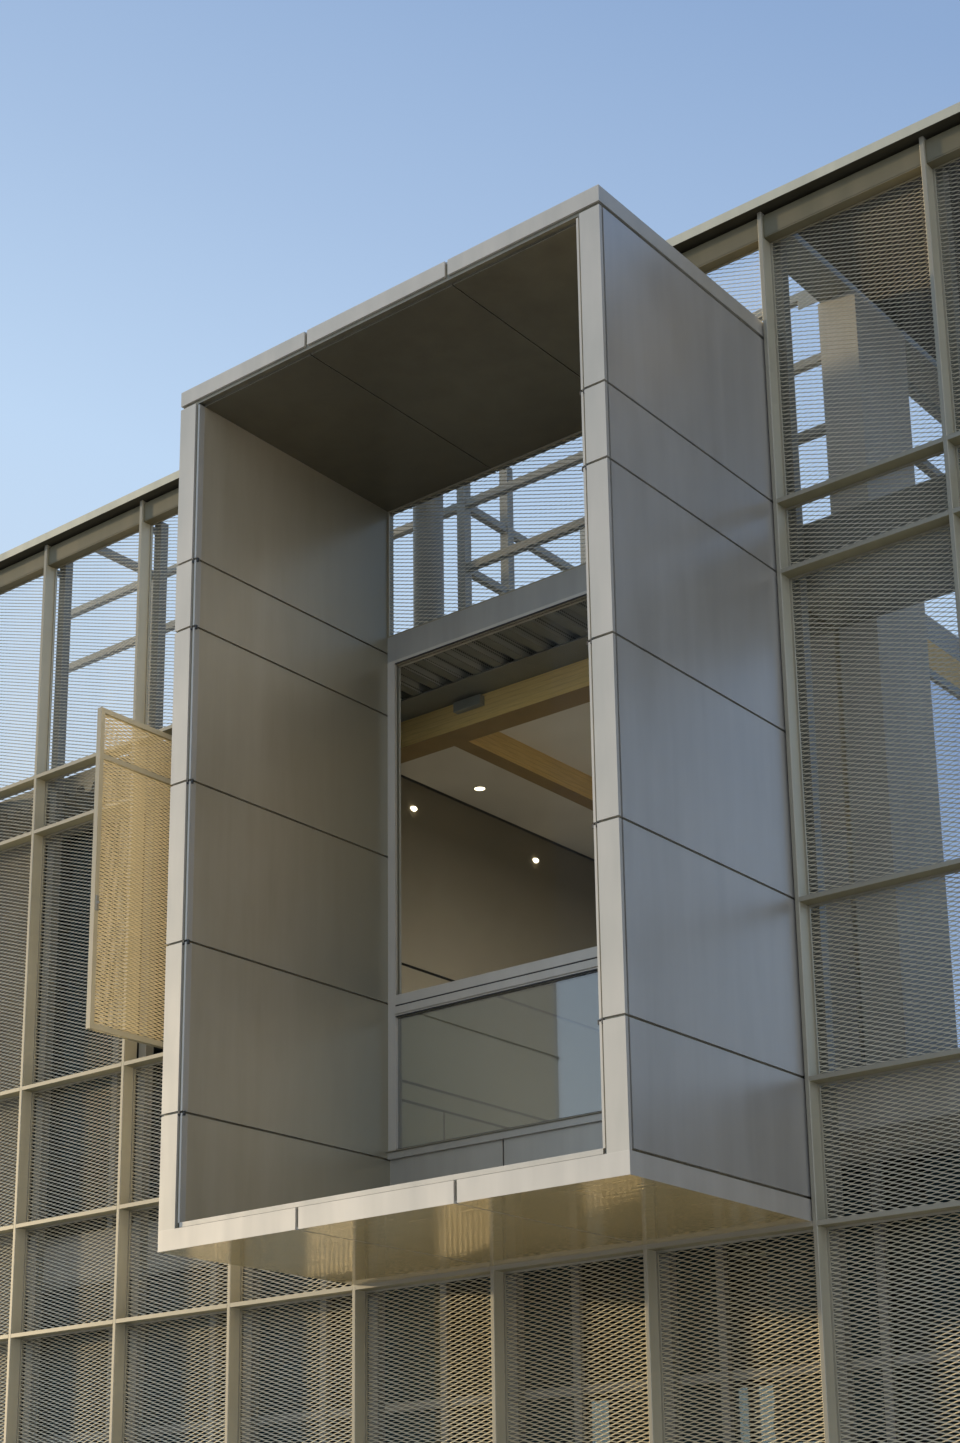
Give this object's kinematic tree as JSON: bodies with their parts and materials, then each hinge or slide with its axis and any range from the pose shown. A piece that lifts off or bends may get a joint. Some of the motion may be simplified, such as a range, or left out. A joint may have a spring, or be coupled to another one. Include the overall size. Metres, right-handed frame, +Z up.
{
  "type": "office building",
  "caption": "Office building with a mesh screen on steel fins, a deep metal portal round a large upper window, and an open roofed terrace beside it.",
  "frame": {"origin": "on the ground, on the front plane of the screen's fins, under the portal's middle", "axes": "+X along the facade to the right seen from outside, +Y into the building, +Z up"},
  "size_m": [13.32, 9.035, 10.915],
  "materials": {
    "concrete": "fair-faced concrete, satin",
    "render": "painted render, matt",
    "portal_metal": "metallic bronze-grey coating, satin",
    "inner_metal": "metallic bronze coating, soft gloss",
    "fin_metal": "metallic beige coating, satin",
    "mesh_metal": "expanded metal, metallic bronze coating",
    "frame_metal": "dark bronze coating, satin",
    "steel": "painted steel, satin",
    "glulam": "laminated timber, oiled",
    "ceiling": "white painted boards, matt",
    "deck": "coated trapezoidal sheet, satin",
    "glass": "clear double glazing"
  },
  "bodies": {
    "root": {"ground_slab": "concrete", "first_floor_slab": "concrete", "left_end_wall": "render", "right_end_wall": "render", "rear_wall": "render", "rear_window_frames": "frame_metal", "rear_glass": "glass", "partition": "render", "blade_columns": "render", "square_columns": "concrete", "roof_deck": "deck", "roof_edge_channel": "steel", "glulam_edge_beam": "glulam", "glulam_cross_beam": "glulam", "lounge_headers": "glulam", "room_ceiling": "ceiling", "front_frames": "frame_metal", "front_glass": "glass", "terrace_frames": "frame_metal", "terrace_glass": "glass", "terrace_edge_beam": "steel", "canopy_frame": "steel", "canopy_soffit": "inner_metal", "screen_fins": "fin_metal", "screen_transoms": "fin_metal", "left_mesh": "mesh_metal", "right_mesh": "mesh_metal", "middle_mesh": "mesh_metal", "screen_coping": "fin_metal", "screen_fascia": "fin_metal", "screen_posts": "steel", "roof_posts": "steel", "roof_rails": "steel", "roof_flue": "steel", "portal_core": "inner_metal", "portal_cap": "portal_metal", "portal_base": "portal_metal", "portal_side_panels": "portal_metal", "portal_inner_panels": "inner_metal", "portal_jambs": "portal_metal", "portal_soffit": "inner_metal", "portal_floor": "portal_metal", "window_frame": "frame_metal", "window_glass": "glass", "window_spandrel": "inner_metal", "shutter_frame": "fin_metal", "shutter_mesh": "mesh_metal"}
  },
  "joints": []
}
